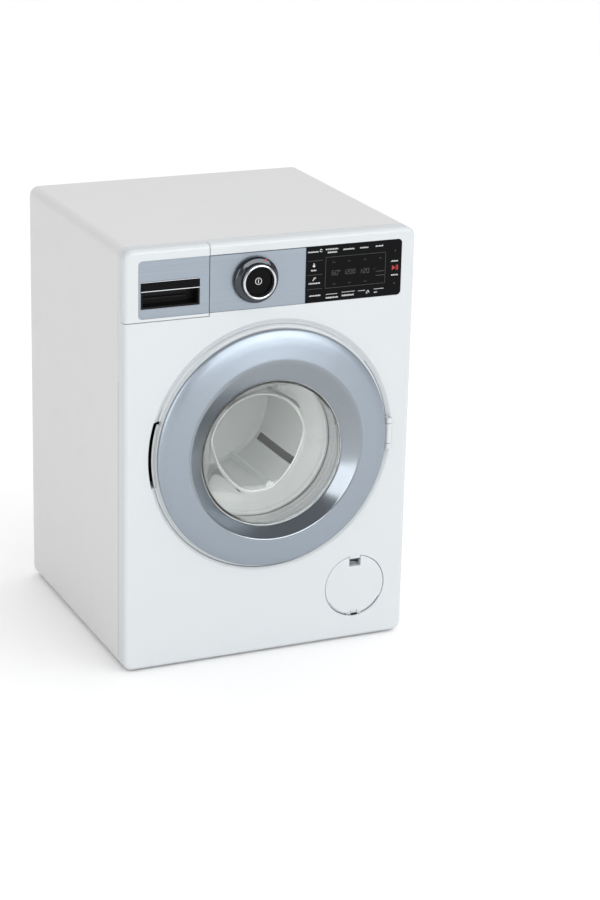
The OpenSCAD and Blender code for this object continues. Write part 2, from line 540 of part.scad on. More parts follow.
module power_button() color([0.05, 0.05, 0.06]) face()
  rev(knob_x, knob_z, [[0, 11.4], [2.05, 11.4], [2.05, -3.3], [8.55, -3.3], [8.55, -4.2], [8.3, -4.45], [6.5, -4.5], [0, -4.5]]);
module power_symbol() color([0.95, 0.95, 0.95]) face() {
  difference() { disc(knob_x, knob_z, 2.1, -4.65, -4.5); disc(knob_x, knob_z, 1.75, -8, -4); }
  block(knob_x - 0.22, knob_x + 0.22, -4.65, -4.5, knob_z - 1.1, knob_z + 1.1);
}

// ---------- detergent drawer ----------
hx0 = -81.9; hx1 = -45.8; hz0 = 225; hz1 = 241; bar_z = 235.3;
module drawer_front() color([0.92, 0.93, 0.94]) face() difference() {
  intersection() { cap_solid(drawer_d); block(-body_w, drawer_x1, -1, drawer_d, drawer_z0, body_h + 5); }
  plate(-1, 1.6) intersection() { strip(-0.1, -83.6, 0); translate([-90, 200]) square([90 + drawer_x1 - 0.01 + 5, 70]); }
  plate(-1, 10) rrect(hx0 - 0.1, hx1 + 0.1, hz0 - 0.1, hz1 + 0.1, 0.5);
  for (z = [222.5, 246]) disc(-63.8, z, 1.3, 2.4, 9);
}
module drawer_inlay() color([0.68, 0.72, 0.76]) face() difference() {
  plate(0.3, 1.5) intersection() { strip(0, -83.5, 0); translate([-90, 200]) square([90 + drawer_x1, 70]); }
  plate(-1, 10) rrect(hx0 - 0.1, hx1 + 0.1, hz0 - 0.1, hz1 + 0.1, 0.5);
}
module handle_cup() color([0.06, 0.06, 0.07]) face() union() {
  difference() {
    plate(0.35, 10) rrect(hx0, hx1, hz0, hz1, 0.5);
    plate(-1, 8.8) rrect(hx0 + 1, hx1 - 1, hz0 + 1, bar_z - 0.2, 0.4);
    plate(-1, 2.45) rrect(hx0 - 1, hx1 + 1, bar_z - 0.3, hz1 + 1, 0.2);
  }
  block(hx0 + 3.5, hx1 - 6, 6.4, 9.4, 228.9, 229.9);
}
module handle_bar() color([0.03, 0.03, 0.04]) face() plate(0.1, 2.4) rrect(hx0 + 0.05, hx1 - 0.05, bar_z + 0.35, hz1 - 0.4, 0.3);
module handle_trim() color([0.85, 0.87, 0.89]) face() {
  block(hx0 + 0.05, hx1 - 0.05, 0.1, 2.4, hz1 - 0.37, hz1 - 0.02);
  block(hx0 + 0.05, hx1 - 0.05, 0.1, 2.4, bar_z - 0.15, bar_z + 0.3);
}
module drawer_tray() color([0.9, 0.91, 0.92]) face() {
  e = drawer_d + tray_l;
  difference() {
    block(tray_x0, tray_x1, drawer_d + 0.02, e, tray_z0, tray_z1);
    block(tray_x0 + 1.5, tray_x1 - 1.5, 12.4, e - 1.5, tray_z0 + 1.5, tray_z1 + 1);
    // room for the handle cup
    block(hx0 - 0.5, hx1 + 0.5, 5, 10.9, hz0 - 0.5, hz1 + 0.5);
    block(tray_x0 - 1, tray_x1 + 1, 12.4, e + 1, tray_z0 + 24, tray_z1 + 1);
    for (z = [222.5, 246]) { disc(-63.8, z, 1.6, 4, 14); disc(-63.8, z, 2.9, 10.6, 14); }
  }
  block(tray_x0 + 14, tray_x0 + 15.2, 12, e - 1, tray_z0 + 1, tray_z0 + 22);
  block(tray_x0 + 26, tray_x0 + 27.2, 12, e - 1, tray_z0 + 1, tray_z0 + 22);
}
module tray_screws() color([0.6, 0.6, 0.62]) face() for (z = [222.5, 246]) screw(-63.8, z, 12.1, 7.5, 2.4, 1.2, 1.4);
module drawer_housing() color([0.8, 0.81, 0.82]) face() difference() {
  block(tray_x0 - 2.3, tray_x1 + 2.3, 8.35, drawer_d + tray_l + 4, tray_z0 - 2.3, tray_z1 + 2.3);
  block(tray_x0 - 0.7, tray_x1 + 0.7, 8, drawer_d + tray_l + 2, tray_z0 - 0.7, tray_z1 + 0.7);
  for (x = [tray_x0 + 8, tray_x0 + 20, tray_x0 + 32], y = [30, 45, 60]) translate([x, y, tray_z1 - 2]) cylinder(r = 1.5, h = 8);
}

// ---------- service flap ----------
module service_flap() color([0.91, 0.92, 0.93]) face() difference() {
  union() {
    intersection() {
      rev(sx, sz, [[0, 0], [flap_r - 0.3, 0], [flap_r, 0.3], [flap_r, 2], [0, 2]]);
      union() { block(sx - 30, sx + 30, -1, 3, pin_z, sz + 30); translate([sx - 30, pin_y, pin_z]) rotate([0, 90, 0]) cylinder(r = 0.9, h = 60); }
      // bevelled lower rim, so that it swings clear of the hole
      union() { block(sx - 30, sx + 30, -1, 3, pin_z + 9, sz + 30); taper(sx, sz, flap_r - 2.2, flap_r + 1, -1, 2.2); }
    }
    difference() {
      translate([sx - 5, pin_y, pin_z]) rotate([0, 90, 0]) cylinder(r = 0.9, h = 10);
      block(sx - 30, sx + 30, -1, 3, pin_z, sz + 30);
    }
    // moulded tongue behind the finger notch
    block(sx - 4.9, sx + 4.9, 1.5, 3.9, sz + 8, sz + 16);
  }
  // finger notch, with the tongue as its floor
  block(sx - 3.9, sx + 3.7, -1, 5, sz + 16, sz + 25);
  block(sx - 3.9, sx + 3.7, -1, 2.9, sz + 12.9, sz + 17);
  // room for the hinge lug, and the pin's bore
  block(sx - 2.2, sx + 2.2, -1, 4, pin_z - 5, pin_z + 2.4);
  translate([sx - 20, pin_y, pin_z]) rotate([0, 90, 0]) cylinder(r = 0.55, h = 40);
}
module flap_pin() color([0.7, 0.7, 0.72]) face() translate([sx - 4.8, pin_y, pin_z]) rotate([0, 90, 0]) cylinder(r = 0.5, h = 9.6);
module service_recess() color([0.55, 0.56, 0.58]) face() union() {
  difference() {
    union() { disc(sx, sz, flap_r + 1.5, 2.55, 18); }
    disc(sx, sz, flap_r, 0, 16.4);
  }
  disc(sx, sz, 9, 14, 17);
  difference() { block(sx - 7, sx + 7, 9, 15, sz - 1.5, sz + 1.5); disc(sx, sz, 40, 0, 5); }
}

// ---------- back cover, speaker and batteries ----------
spk_x = 45; spk_z = 196;
bat_x = [-24, -8, 8, 24];
module back_cover() color([0.84, 0.84, 0.84]) face() difference() {
  plate(back - 4.3, back - 1.8) outline(wall + 0.3);
  for (p = corner_pts) { disc(p[0], p[1], 1.6, back - 5, back + 1); }
  // speaker grille
  disc(spk_x, spk_z, 1.2, back - 5, back);
  for (r = [5, 10, 15], i = [0:r * 6 / 5 - 1]) let (a = i * 300 / r) disc(spk_x + r * cos(a), spk_z + r * sin(a), 1.1, back - 5, back);
  // vents
  for (i = [0:5]) block(-70, -30, back - 5, back, 172 + i * 7, 174.5 + i * 7);
  // battery opening with the screw tab
  plate(back - 5, back) { rrect(-33.4, 33.4, 19.6, 80.4, 1.5); rrect(-6.4, 6.4, 76, 90.4, 1.5); }
}
module cover_screws() color([0.55, 0.55, 0.57]) face() {
  for (p = corner_pts) screw(p[0], p[1], back - 0.08, 9);
  for (p = front_pts) screw(p[0], p[1], 27.75, 12);
  screw(0, 85.5, back - 0.42, 6);
}
module speaker_frame() color([0.25, 0.26, 0.28]) face() rev(spk_x, spk_z, [[18.2, back - 4.4], [21, back - 4.4], [21, back - 6], [19.6, back - 6], [12, back - 11.8], [11, back - 11.8],
  [11, back - 16.8], [0, back - 16.8], [0, back - 11.4], [11, back - 10.2], [18.2, back - 5.8]]);
module speaker_cone() color([0.12, 0.12, 0.12]) face() rev(spk_x, spk_z, [[0, back - 8], [3, back - 8.4], [4, back - 9.2], [17.4, back - 5.2], [18.1, back - 5.2], [18.1, back - 4.6], [17, back - 4.6], [4, back - 8.6], [3, back - 7.8], [0, back - 7.4]]);
module battery_box() color([0.3, 0.31, 0.33]) face() {
  difference() {
    union() { block(-35, 35, back - 22, back - 4.35, 18, 82); block(-5, 5, back - 14, back - 4.35, 81, 87); disc(0, 85.5, 4.5, back - 14, back - 4.35); }
    block(-32, 32, back - 20.2, back, 21, 79);
    disc(0, 85.5, 1.3, back - 12, back);
    for (x = [-17, 17]) block(x - 3.4, x + 3.4, back - 6.7, back, 18.3, 22);
  }
  for (x = [-16, 0, 16]) block(x - 0.5, x + 0.5, back - 21, back - 15, 28, 72);
}
module battery_cells() color([0.25, 0.45, 0.35]) face() for (i = [0:3]) translate([bat_x[i], back - 12.6, 0]) {
  up = i % 2;
  translate([0, 0, up ? 27.8 : 23.4]) cylinder(r = 7.1, h = 48.5);
  translate([0, 0, up ? 76 : 22]) cylinder(r = 2.75, h = up ? 1.7 : 1.6);
}
// Conical coil with n turns, made of short straight pieces
module spring(r, w, n, h) {
  s = 14 * n;
  pts = [for (i = [0:s]) let (a = 360 * i / 14, q = r * (1 - 0.35 * i / s)) each [for (j = [0:5]) [(q + w * cos(60 * j)) * cos(a), (q + w * cos(60 * j)) * sin(a), h * i / s + w * sin(60 * j)]]];
  polyhedron(pts, concat([[for (j = [5:-1:0]) j]], [[for (j = [0:5]) s * 6 + j]],
    [for (i = [0:s - 1], j = [0:5]) [i * 6 + j, i * 6 + (j + 1) % 6, i * 6 + 6 + (j + 1) % 6, i * 6 + 6 + j]]));
}
module battery_springs() color([0.75, 0.75, 0.76]) face() for (i = [0:3]) translate([bat_x[i], back - 12.6, 0]) {
  up = i % 2;
  translate([0, 0, up ? 22.05 : 77.95]) rotate([up ? 0 : 180, 0, 0]) spring(4.6, 0.35, 3, 5.3);
  block(-5.5, 5.5, -5.5, 5.5, 21.05, 21.6);
  block(-5.5, 5.5, -5.5, 5.5, 78.4, 78.95);
}
module battery_door() color([0.84, 0.84, 0.84]) face() difference() {
  union() {
    plate(back - 4.2, back - 2.15) { rrect(-33, 33, 20, 80, 1.2); rrect(-6, 6, 76, 90, 1.2); }
    for (x = [-17, 17]) { block(x - 3, x + 3, back - 6.4, back - 4.4, 18.7, 23); block(x - 3, x + 3, back - 6.4, back - 4.15, 20.2, 23); }
    for (i = [0:3]) block(-12, 12, back - 2.2, back - 1.7, 30 + i * 4, 31.5 + i * 4);
  }
  disc(0, 85.5, 1.6, back - 6, back);
}

cabinet();
front_panel();
back_cover();
rubber_feet();
door_frame();
door_ring();
door_glass();
door_screws();
hinge_pin();
catch_keeper();
door_seal();
tub();
tub_screws();
drum();
drum_shaft();
drum_gear();
hub_screw();
drum_bush();
rear_bush();
idler_gear();
idler_axle();
gearbox_plate();
gearbox_screws();
motor_can();
motor_cap();
motor_shaft();
motor_pinion();
knob_panel();
knob_body();
knob_base_ring();
knob_face_ring();
knob_marker();
knob_clip();
power_button();
power_symbol();
rotary_switch();
push_switch();
display_window();
display_lamps();
control_board();
board_parts();
board_screws();
drawer_front();
drawer_inlay();
handle_cup();
handle_bar();
handle_trim();
drawer_tray();
tray_screws();
drawer_housing();
service_flap();
flap_pin();
service_recess();
speaker_frame();
speaker_cone();
battery_box();
battery_cells();
battery_springs();
battery_door();
cover_screws();
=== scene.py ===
# Looks of the toy washing machine. Metres; the helpers take millimetres in the part's own frame,
# with depth measured from the cabinet's front face.
import json
import math

import bpy
from mathutils import Matrix, Vector

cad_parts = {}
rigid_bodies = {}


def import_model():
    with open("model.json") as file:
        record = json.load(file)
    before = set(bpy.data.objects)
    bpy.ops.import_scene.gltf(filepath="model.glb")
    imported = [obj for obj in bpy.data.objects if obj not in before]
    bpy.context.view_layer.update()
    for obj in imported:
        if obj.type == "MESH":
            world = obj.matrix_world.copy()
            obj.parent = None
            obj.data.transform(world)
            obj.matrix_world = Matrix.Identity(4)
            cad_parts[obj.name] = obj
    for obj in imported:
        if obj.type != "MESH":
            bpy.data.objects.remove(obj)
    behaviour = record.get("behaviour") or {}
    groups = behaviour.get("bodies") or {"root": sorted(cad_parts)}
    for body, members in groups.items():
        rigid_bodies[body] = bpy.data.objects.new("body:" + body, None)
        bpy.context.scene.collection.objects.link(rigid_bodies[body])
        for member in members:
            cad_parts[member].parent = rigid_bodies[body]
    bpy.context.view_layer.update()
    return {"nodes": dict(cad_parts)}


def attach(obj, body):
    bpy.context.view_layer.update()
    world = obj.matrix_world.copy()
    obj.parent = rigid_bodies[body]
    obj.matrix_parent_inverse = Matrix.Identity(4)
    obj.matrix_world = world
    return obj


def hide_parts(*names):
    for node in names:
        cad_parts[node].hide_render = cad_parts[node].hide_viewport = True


for o in list(bpy.data.objects):
    bpy.data.objects.remove(o, do_unlink=True)

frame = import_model()
NODE = frame["nodes"]


MM = 0.001
FACE = -82.0
DOOR = (1.6, 132.3)
WIN = (1.6, 128.5)
KNOB = (-11.2, 236.9)


# ---------------------------------------------------------------- shader helpers
class Tree:
    """A node tree under construction."""

    def __init__(self, owner):
        owner.use_nodes = True
        self.t = owner.node_tree
        self.t.nodes.clear()
        self.n = 0

    def add(self, kind, **props):
        node = self.t.nodes.new(kind)
        node.location = (-200 * (self.n % 8), -220 * (self.n // 8))
        self.n += 1
        for k, v in props.items():
            setattr(node, k, v)
        return node

    def link(self, a, b):
        self.t.links.new(a, b)

    def coords(self, scale=(1, 1, 1), turn=(0, 0, 0)):
        tc = self.add("ShaderNodeTexCoord")
        mp = self.add("ShaderNodeMapping")
        mp.inputs["Scale"].default_value = scale
        mp.inputs["Rotation"].default_value = turn
        self.link(tc.outputs["Object"], mp.inputs["Vector"])
        return mp.outputs["Vector"]

    def noise(self, scale, detail=2.0, rough=0.5, at=None):
        nz = self.add("ShaderNodeTexNoise")
        nz.inputs["Scale"].default_value = scale
        nz.inputs["Detail"].default_value = detail
        nz.inputs["Roughness"].default_value = rough
        if at is not None:
            self.link(at, nz.inputs["Vector"])
        return nz.outputs["Fac"]

    def span(self, value, a, b, lo, hi):
        mr = self.add("ShaderNodeMapRange")
        mr.inputs["From Min"].default_value = a
        mr.inputs["From Max"].default_value = b
        mr.inputs["To Min"].default_value = lo
        mr.inputs["To Max"].default_value = hi
        self.link(value, mr.inputs["Value"])
        return mr.outputs["Result"]

    def math(self, op, a, b):
        m = self.add("ShaderNodeMath", operation=op)
        for i, v in enumerate((a, b)):
            if isinstance(v, (int, float)):
                m.inputs[i].default_value = v
            else:
                self.link(v, m.inputs[i])
        return m.outputs[0]

    def mix(self, fac, a, b, blend="MIX"):
        m = self.add("ShaderNodeMix", data_type="RGBA", blend_type=blend)
        for sock, v in ((m.inputs[0], fac), (m.inputs[6], a), (m.inputs[7], b)):
            if isinstance(v, (int, float)):
                sock.default_value = v
            elif isinstance(v, tuple):
                sock.default_value = (*v[:3], 1.0)
            else:
                self.link(v, sock)
        return m.outputs[2]


def tint(c, k):
    return tuple(min(1.0, max(0.0, x * k)) for x in c)


def surface(name, color, rough, metallic=0.0, ior=1.47, coat=0.0, coat_rough=0.04, peel=0.0, grain=0.0,
            grain_scale=2600.0, cloud=0.02, cloud_scale=28.0, rough_var=0.04, brushed=0.0, brush_axis="X",
            brush_color=0.0, scuff=0.02, soften=0.0, glass=False, dust=0.0, sheen=0.0, aniso=0.0,
            subsurface=0.0, ring_brush=None):
    """A procedural finish under the slot's own name, or a new one for a piece that the CAD hasn't got."""
    mat = bpy.data.materials.get(name) or bpy.data.materials.new(name)
    mat.use_backface_culling = False
    t = Tree(mat)
    out = t.add("ShaderNodeOutputMaterial")
    bs = t.add("ShaderNodeBsdfPrincipled")
    at = t.coords()
    # colour: slow cloudiness, then fine mottling
    slow = t.noise(cloud_scale, 3.0, 0.55, at)
    fine = t.noise(420.0, 2.0, 0.5, at)
    base = t.mix(t.span(slow, 0.35, 0.65, 0.0, 1.0), tint(color, 1.0 - cloud), tint(color, 1.0 + cloud))
    base = t.mix(t.span(fine, 0.35, 0.65, 0.0, 1.0), base, tint(color, 1.0 - 0.5 * cloud))
    r = t.span(t.noise(75.0, 4.0, 0.6, at), 0.3, 0.7, max(0.0, rough - rough_var), rough + rough_var)
    height = None
    if brushed:
        # long hair lines along one axis
        sc = {"X": (14.0, 900.0, 5200.0), "Z": (5200.0, 900.0, 14.0)}[brush_axis]
        a2 = t.coords(scale=sc)
        hair = t.noise(1.0, 5.0, 0.7, a2)
        a3 = t.coords(scale=tuple(v * 0.33 for v in sc))
        hair2 = t.noise(1.0, 3.0, 0.6, a3)
        both = t.math("ADD", t.math("MULTIPLY", hair, 0.6), t.math("MULTIPLY", hair2, 0.4))
        base = t.mix(t.span(both, 0.32, 0.68, 0.0, 1.0), tint(color, 1.0 - brush_color), tint(color, 1.0 + brush_color))
        r = t.math("ADD", r, t.span(both, 0.3, 0.7, -0.06, 0.06))
        height = t.math("MULTIPLY", both, brushed)
    if scuff:
        # faint handling marks, thin and crossing
        a4 = t.coords(scale=(60.0, 900.0, 900.0), turn=(0.3, 0.9, 0.5))
        m1 = t.span(t.noise(1.0, 2.0, 0.5, a4), 0.66, 0.72, 0.0, 1.0)
        a5 = t.coords(scale=(800.0, 700.0, 45.0), turn=(0.2, -0.5, 1.1))
        m2 = t.span(t.noise(1.0, 2.0, 0.5, a5), 0.67, 0.73, 0.0, 1.0)
        mark = t.math("MAXIMUM", m1, m2)
        r = t.math("ADD", r, t.math("MULTIPLY", mark, 4.0 * scuff))
        base = t.mix(t.math("MULTIPLY", mark, scuff), base, tint(color, 0.86))
    if dust:
        spot = t.span(t.noise(160.0, 5.0, 0.7, at), 0.60, 0.78, 0.0, dust)
        base = t.mix(spot, base, (0.55, 0.54, 0.52))
        r = t.math("ADD", r, t.math("MULTIPLY", spot, 0.4))
    t.link(base, bs.inputs["Base Color"])
    t.link(r, bs.inputs["Roughness"])
    bs.inputs["Metallic"].default_value = metallic
    bs.inputs["IOR"].default_value = ior
    if coat:
        bs.inputs["Coat Weight"].default_value = coat
        bs.inputs["Coat Roughness"].default_value = coat_rough
    if sheen:
        bs.inputs["Sheen Weight"].default_value = sheen
    if aniso:
        bs.inputs["Anisotropic"].default_value = aniso
    if glass:
        bs.inputs["Transmission Weight"].default_value = float(glass)
    if subsurface:
        bs.inputs["Subsurface Weight"].default_value = subsurface
        bs.inputs["Subsurface Radius"].default_value = (0.002, 0.002, 0.002)
    # relief: wide orange peel and fine moulded grain
    parts = []
    if peel:
        parts.append(t.math("MULTIPLY", t.noise(260.0, 2.0, 0.5, at), peel))
    if grain:
        parts.append(t.math("MULTIPLY", t.noise(grain_scale, 2.0, 0.5, at), grain))
    if height is not None:
        parts.append(height)
    if not parts:
        parts.append(t.math("MULTIPLY", t.noise(700.0, 2.0, 0.5, at), 0.05))
    total = parts[0]
    for p in parts[1:]:
        total = t.math("ADD", total, p)
    bump = t.add("ShaderNodeBump")
    bump.inputs["Strength"].default_value = 1.0
    bump.inputs["Distance"].default_value = 0.0001
    t.link(total, bump.inputs["Height"])
    if soften:
        bev = t.add("ShaderNodeBevel", samples=4)
        bev.inputs["Radius"].default_value = soften * MM
        t.link(bev.outputs["Normal"], bump.inputs["Normal"])
    t.link(bump.outputs["Normal"], bs.inputs["Normal"])
    if glass:
        lp = t.add("ShaderNodeLightPath")
        tr = t.add("ShaderNodeBsdfTransparent")
        tr.inputs["Color"].default_value = (0.97, 0.975, 0.97, 1.0)
        mx = t.add("ShaderNodeMixShader")
        t.link(lp.outputs["Is Shadow Ray"], mx.inputs[0])
        t.link(bs.outputs[0], mx.inputs[1])
        t.link(tr.outputs[0], mx.inputs[2])
        t.link(mx.outputs[0], out.inputs["Surface"])
    else:
        t.link(bs.outputs[0], out.inputs["Surface"])
    return mat


M = {}
M["white_panel"] = surface("white_panel", (0.60, 0.63, 0.648), 0.34, peel=0.10, grain=0.03, soften=0.35, cloud=0.006)
M["cabinet_plastic"] = surface("cabinet_plastic", (0.655, 0.655, 0.652), 0.42, peel=0.10, grain=0.06, soften=0.3, cloud=0.008)
M["silver_paint"] = surface("silver_paint", (0.298, 0.340, 0.388), 0.35, metallic=0.88, grain=0.05, grain_scale=5200.0,
                            cloud=0.02, cloud_scale=3600.0, rough_var=0.03, coat=0.25, coat_rough=0.12, scuff=0.01)
M["silver_cone"] = surface("silver_cone", (0.278, 0.306, 0.334), 0.19, metallic=1.0, grain=0.015, grain_scale=4200.0,
                           cloud=0.012, rough_var=0.03, scuff=0.012)
M["silver_panel"] = surface("silver_panel", (0.290, 0.332, 0.380), 0.40, metallic=0.85, brushed=0.35, brush_color=0.07,
                            cloud=0.01, rough_var=0.03, scuff=0.01, soften=0.2)
M["clear_plastic"] = surface("clear_plastic", (0.985, 0.99, 0.985), 0.025, ior=1.49, glass=1.0, cloud=0.004, rough_var=0.012,
                             peel=0.05, scuff=0.008)
M["clear_wall"] = surface("clear_wall", (0.97, 0.972, 0.97), 0.04, ior=1.49, glass=0.88, cloud=0.02, cloud_scale=45.0, rough_var=0.02,
                          peel=0.04, scuff=0.008)
# a whiter, partly opaque finish for the bowl's inner end edge: a painted highlight line
M["clear_edge_painted_highlight"] = surface("clear_edge_painted_highlight", (0.98, 0.98, 0.98), 0.15, ior=1.49, glass=0.55, cloud=0.02, rough_var=0.03)
M["drum_plastic"] = surface("drum_plastic", (0.685, 0.715, 0.70), 0.33, peel=0.06, grain=0.05, cloud=0.015)
M["tub_plastic"] = surface("tub_plastic", (0.13, 0.137, 0.137), 0.5, peel=0.1, grain=0.1, cloud=0.03)
M["seal_rubber"] = surface("seal_rubber", (0.455, 0.475, 0.478), 0.5, grain=0.2, grain_scale=1800.0, cloud=0.03, dust=0.1)
M["foot_rubber"] = surface("foot_rubber", (0.035, 0.035, 0.037), 0.7, grain=0.4, grain_scale=1500.0, cloud=0.05, dust=0.12)
M["black_gloss"] = surface("black_gloss", (0.0035, 0.0036, 0.0042), 0.12, ior=1.16, rough_var=0.03, peel=0.04,
                           cloud=0.05, scuff=0.03, soften=0.15)
M["black_plastic"] = surface("black_plastic", (0.006, 0.006, 0.0068), 0.42, ior=1.25, grain=0.12, cloud=0.04, scuff=0.03, soften=0.15)
M["knob_grey"] = surface("knob_grey", (0.10, 0.105, 0.115), 0.27, metallic=0.7, grain=0.05, grain_scale=4200.0, cloud=0.02)
M["chrome_trim"] = surface("chrome_trim", (0.62, 0.64, 0.67), 0.12, metallic=1.0, cloud=0.01, rough_var=0.03, grain=0.02, scuff=0.012)
# chrome with its reflectance lowered: painted shade standing in for the dark surroundings that bright chrome would
# mirror
M["dark_chrome"] = surface("dark_chrome", (0.068, 0.072, 0.079), 0.08, metallic=1.0, cloud=0.01, rough_var=0.02, grain=0.02, scuff=0.012)
M["red_print"] = surface("red_print", (0.40, 0.02, 0.022), 0.4, grain=0.05, cloud=0.04)
M["white_print"] = surface("white_print", (0.66, 0.67, 0.68), 0.45, grain=0.06, cloud=0.03)
M["screw_steel"] = surface("screw_steel", (0.42, 0.42, 0.43), 0.28, metallic=1.0, cloud=0.05, grain=0.12, grain_scale=3200.0, rough_var=0.08)
M["bush_brass"] = surface("bush_brass", (0.60, 0.44, 0.20), 0.3, metallic=1.0, cloud=0.05, grain=0.1, rough_var=0.08)
M["gear_nylon"] = surface("gear_nylon", (0.70, 0.69, 0.64), 0.45, grain=0.08, cloud=0.02, subsurface=0.1)
M["board_green"] = surface("board_green", (0.03, 0.17, 0.06), 0.35, grain=0.15, cloud=0.1, cloud_scale=220.0)
M["battery_wrap"] = surface("battery_wrap", (0.06, 0.07, 0.08), 0.25, cloud=0.04, peel=0.05, coat=0.3)
M["speaker_paper"] = surface("speaker_paper", (0.03, 0.03, 0.03), 0.85, grain=0.6, grain_scale=1300.0, cloud=0.12)
# near-black finish for pieces that stand in for shade in gaps and pockets: painted shade
M["seam_shade"] = surface("seam_shade", (0.012, 0.012, 0.013), 0.8, grain=0.2, cloud=0.08, scuff=0.0)
# grey finish for the flap notch's floor: painted shade
M["notch_painted_shade_grey"] = surface("notch_painted_shade_grey", (0.20, 0.222, 0.24), 0.5, grain=0.1, cloud=0.05, scuff=0.01)
M["lamp_amber"] = surface("lamp_amber", (0.65, 0.32, 0.05), 0.25, cloud=0.04, subsurface=0.2)
M["dim_print"] = surface("dim_print", (0.055, 0.053, 0.05), 0.5, grain=0.05, cloud=0.1)
M["faint_print"] = surface("faint_print", (0.035, 0.035, 0.034), 0.5, grain=0.05, cloud=0.1)


# ---------------------------------------------------------------- geometry helpers
def fillet(pts, steps=6):
    """Rounds the corners of a path of (a, b, radius)."""
    out = []
    n = len(pts)
    for i, p in enumerate(pts):
        r = p[2] if len(p) > 2 else 0.0
        v = Vector((p[0], p[1]))
        a = Vector(pts[i - 1][:2]) if i > 0 else None
        b = Vector(pts[(i + 1) % n][:2]) if i < n - 1 else None
        if r <= 0 or a is None or b is None:
            out.append((v.x, v.y))
            continue
        da, db = (a - v), (b - v)
        la, lb = da.length, db.length
        da.normalize()
        db.normalize()
        ang = math.acos(max(-1.0, min(1.0, da.dot(db))))
        if ang > math.pi - 0.02:
            out.append((v.x, v.y))
            continue
        cut = min(r / math.tan(ang / 2), 0.48 * la, 0.48 * lb)
        rr = cut * math.tan(ang / 2)
        c = v + (da + db).normalized() * (rr / math.sin(ang / 2))
        p0, p1 = v + da * cut, v + db * cut
        a0 = math.atan2(p0.y - c.y, p0.x - c.x)
        a1 = math.atan2(p1.y - c.y, p1.x - c.x)
        d = (a1 - a0 + math.pi) % (2 * math.pi) - math.pi
        for k in range(steps + 1):
            w = a0 + d * k / steps
            out.append((c.x + rr * math.cos(w), c.y + rr * math.sin(w)))
    return out


def smooth_path(pts, steps=5):
    """Catmull-Rom curve through the points."""
    out = []
    n = len(pts)
    for i in range(n - 1):
        p0 = Vector(pts[max(i - 1, 0)])
        p1, p2 = Vector(pts[i]), Vector(pts[i + 1])
        p3 = Vector(pts[min(i + 2, n - 1)])
        t0, t1 = (p2 - p0) * 0.5, (p3 - p1) * 0.5
        la = (p2 - p1).length
        for tt in (t0, t1):
            if tt.length > la:
                tt *= la / tt.length
        for k in range(steps):
            s = k / steps
            h = (2 * s**3 - 3 * s**2 + 1) * p1 + (s**3 - 2 * s**2 + s) * t0 + (-2 * s**3 + 3 * s**2) * p2 + (s**3 - s**2) * t1
            out.append(tuple(h))
    out.append(tuple(pts[-1]))
    return out


def make(name, verts, faces, mats, index=None, sharp=35.0, body=None, replaces=(), slot=None):
    """A mesh object from millimetre vertices, put on its body."""
    volume = 0.0
    for f in faces:
        a = Vector(verts[f[0]])
        for i in range(1, len(f) - 1):
            volume += a.dot(Vector(verts[f[i]]).cross(Vector(verts[f[i + 1]])))
    if volume < 0:
        faces = [tuple(reversed(f)) for f in faces]
    me = bpy.data.meshes.new(name)
    me.from_pydata([(v[0] * MM, v[1] * MM, v[2] * MM) for v in verts], [], faces)
    for m in mats:
        me.materials.append(M[m])
    if index:
        me.polygons.foreach_set("material_index", index)
    me.validate()
    me.update()
    me.shade_smooth()
    me.set_sharp_from_angle(angle=math.radians(sharp))
    ob = bpy.data.objects.new(name, me)
    bpy.context.scene.collection.objects.link(ob)
    if body:
        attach(ob, body)
    if replaces:
        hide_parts(*replaces)
    return ob


def lathe(name, rings, mats, segs=360, closed=True, shape=None, **kw):
    """Rings of (radius, depth, centre x, centre z, material) round the depth axis, joined in order. shape(R, angle)
    gives the radius at that angle."""
    verts, faces, index = [], [], []
    start = []
    for R, y, cx, cz, _ in rings:
        start.append(len(verts))
        if R < 1e-6:
            verts.append((cx, FACE + y, cz))
        else:
            for k in range(segs):
                a = 2 * math.pi * k / segs
                q = shape(R, a) if shape else R
                verts.append((cx + q * math.cos(a), FACE + y, cz + q * math.sin(a)))
    pairs = list(zip(range(len(rings)), range(1, len(rings))))
    if closed:
        pairs.append((len(rings) - 1, 0))
    for i, j in pairs:
        for k in range(segs):
            k2 = (k + 1) % segs
            a = (start[i] + k, start[i] + k2) if rings[i][0] > 1e-6 else (start[i],)
            b = (start[j] + k2, start[j] + k) if rings[j][0] > 1e-6 else (start[j],)
            if len(a) + len(b) >= 3:
                faces.append(a + b)
                index.append(rings[i][4])
    return make(name, verts, faces, mats, index=index, **kw)


def prism(verts, faces, poly, y0, y1):
    """Adds a prism with that outline in x and z between two depths. The outline may be concave."""
    area = sum(poly[i][0] * poly[(i + 1) % len(poly)][1] - poly[(i + 1) % len(poly)][0] * poly[i][1] for i in range(len(poly)))
    if area < 0:
        poly = poly[::-1]
    n, s = len(poly), len(verts)
    verts += [(p[0], FACE + y0, p[1]) for p in poly] + [(p[0], FACE + y1, p[1]) for p in poly]
    faces.append(tuple(s + k for k in range(n)))
    faces.append(tuple(s + n + k for k in reversed(range(n))))
    for k in range(n):
        k2 = (k + 1) % n
        faces.append((s + k2, s + k, s + n + k, s + n + k2))


def bar(x0, x1, z0, z1, r=None):
    """Outline of a bar with rounded ends."""
    r = min((x1 - x0), (z1 - z0)) * 0.45 if r is None else r
    pts = []
    for cx, cz, a0 in ((x1 - r, z1 - r, 0), (x0 + r, z1 - r, 90), (x0 + r, z0 + r, 180), (x1 - r, z0 + r, 270)):
        for k in range(5):
            a = math.radians(a0 + 90 * k / 4)
            pts.append((cx + r * math.cos(a), cz + r * math.sin(a)))
    return pts


